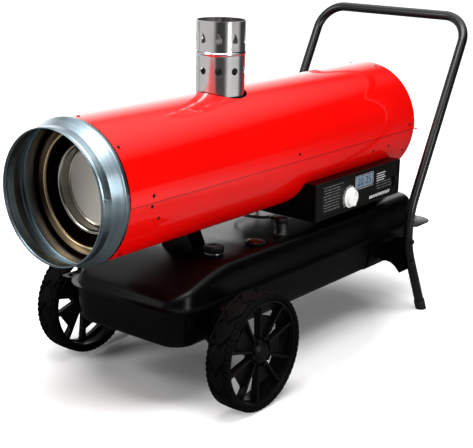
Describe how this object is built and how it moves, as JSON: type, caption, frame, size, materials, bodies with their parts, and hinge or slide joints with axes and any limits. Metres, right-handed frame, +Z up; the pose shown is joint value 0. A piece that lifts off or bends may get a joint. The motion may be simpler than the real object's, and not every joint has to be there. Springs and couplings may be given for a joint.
{
  "type": "indirect fired heater",
  "caption": "Mobile oil-fired space heater: horizontal duct casing with flue, heat exchanger, burner and fan, on a wheeled fuel tank with a tubular handle.",
  "frame": {"origin": "on the floor under the middle of the heater's bounding box", "axes": "+Z up; the warm air leaves towards -Y and the handle is at +Y; the control panel faces +X"},
  "size_m": [0.617, 1.398, 0.865],
  "materials": {
    "red_paint": "gloss powder coat",
    "black_paint": "satin powder coat",
    "black_tube": "satin-gloss paint",
    "galvanised": "bright galvanised",
    "stainless": "bright stainless",
    "tinted_steel": "heat-tinted",
    "chamber_steel": "satin heat-resistant steel",
    "zinc_steel": "zinc plated",
    "cast_aluminium": "as cast",
    "brass": "satin",
    "black_plastic": "fine texture",
    "white_plastic": "gloss",
    "red_plastic": "gloss",
    "clear_plastic": "clear",
    "hose_rubber": "matt",
    "tyre_rubber": "matt",
    "board_green": "solder resist",
    "ceramic": "glazed or moulded white"
  },
  "bodies": {
    "heater": {"axle_bracket": "black_paint", "blast_tube": "stainless", "burner_plate": "cast_aluminium", "cable_gland": "black_plastic", "casing_lower": "red_paint", "casing_upper": "red_paint", "combustion_chamber": "chamber_steel", "control_board": "board_green", "control_box": "black_paint", "control_panel": "black_plastic", "crossover_duct": "chamber_steel", "display_window": "clear_plastic", "drain_plug": "zinc_steel", "exchanger_drum": "tinted_steel", "fan_guard": "black_paint", "fan_motor": "cast_aluminium", "filler_neck": "zinc_steel", "filler_strainer": "brass", "flame_diffuser": "chamber_steel", "flame_photocell": "black_plastic", "flue_pipe": "stainless", "foot_cap_left": "hose_rubber", "foot_cap_right": "hose_rubber", "front_saddle": "black_paint", "fuel_filter_bowl": "clear_plastic", "fuel_filter_head": "black_plastic", "fuel_gauge_body": "black_plastic", "fuel_gauge_lens": "clear_plastic", "fuel_nozzle": "brass", "fuel_pump": "cast_aluminium", "fuel_tank_lower": "black_paint", "fuel_tank_upper": "black_paint", "handle_frame": "black_tube", "ignition_electrodes": "ceramic", "ignition_transformer": "black_plastic", "motor_spider": "zinc_steel", "nozzle_line": "brass", "outlet_spigot": "galvanised", "overheat_thermostat": "black_plastic", "rear_bracket": "black_paint", "rear_saddle": "black_paint", "return_hose": "hose_rubber", "room_thermostat": "black_plastic", "run_capacitor": "ceramic", "suction_hose": "hose_rubber", "switch_housing": "black_plastic", "wheel_axle": "zinc_steel"},
    "wheel_right": {"tyre_right": "tyre_rubber", "rim_right": "black_plastic", "hub_cap_right": "black_plastic"},
    "wheel_left": {"tyre_left": "tyre_rubber", "rim_left": "black_plastic", "hub_cap_left": "black_plastic"},
    "fan": {"motor_shaft": "zinc_steel", "fan_impeller": "black_plastic"},
    "knob": {"thermostat_knob": "white_plastic"},
    "rocker": {"power_switch": "red_plastic"},
    "cap": {"fuel_cap": "black_plastic"},
    "float_arm": {"fuel_gauge_float": "zinc_steel"},
    "pointer": {"fuel_gauge_pointer": "red_plastic"}
  },
  "joints": [
    {"name": "wheel_right_spin", "type": "hinge", "parent": "heater", "child": "wheel_right", "pos_m": [0.27625, -0.3331, 0.142], "axis": [1, 0, 0], "continuous": true},
    {"name": "wheel_left_spin", "type": "hinge", "parent": "heater", "child": "wheel_left", "pos_m": [-0.27625, -0.3331, 0.142], "axis": [1, 0, 0], "continuous": true},
    {"name": "fan_spin", "type": "hinge", "parent": "heater", "child": "fan", "pos_m": [0, 0.4349, 0.5288], "axis": [0, 1, 0], "continuous": true},
    {"name": "thermostat_turn", "type": "hinge", "parent": "heater", "child": "knob", "pos_m": [0.1794, 0.2049, 0.386], "axis": [1, 0, 0], "range_deg": [-135, 135]},
    {"name": "switch_rock", "type": "hinge", "parent": "heater", "child": "rocker", "pos_m": [0.178, 0.43838, 0.389], "axis": [0, -1, 0], "range_deg": [0, 16]},
    {"name": "cap_lift", "type": "slide", "parent": "heater", "child": "cap", "axis": [0, 0, 1], "range_m": [0, 0.03]},
    {"name": "float_swing", "type": "hinge", "parent": "heater", "child": "float_arm", "pos_m": [0.119, -0.1311, 0.244], "axis": [1, 0, 0], "range_deg": [0, 76]},
    {"name": "pointer_turn", "type": "hinge", "parent": "heater", "child": "pointer", "pos_m": [0.119, -0.1311, 0.3258], "axis": [0, 0, 1], "range_deg": [-120, 0]}
  ],
  "couplings": [
    {"joint": "pointer_turn", "follows": "float_swing", "ratio": -1.5789}
  ]
}
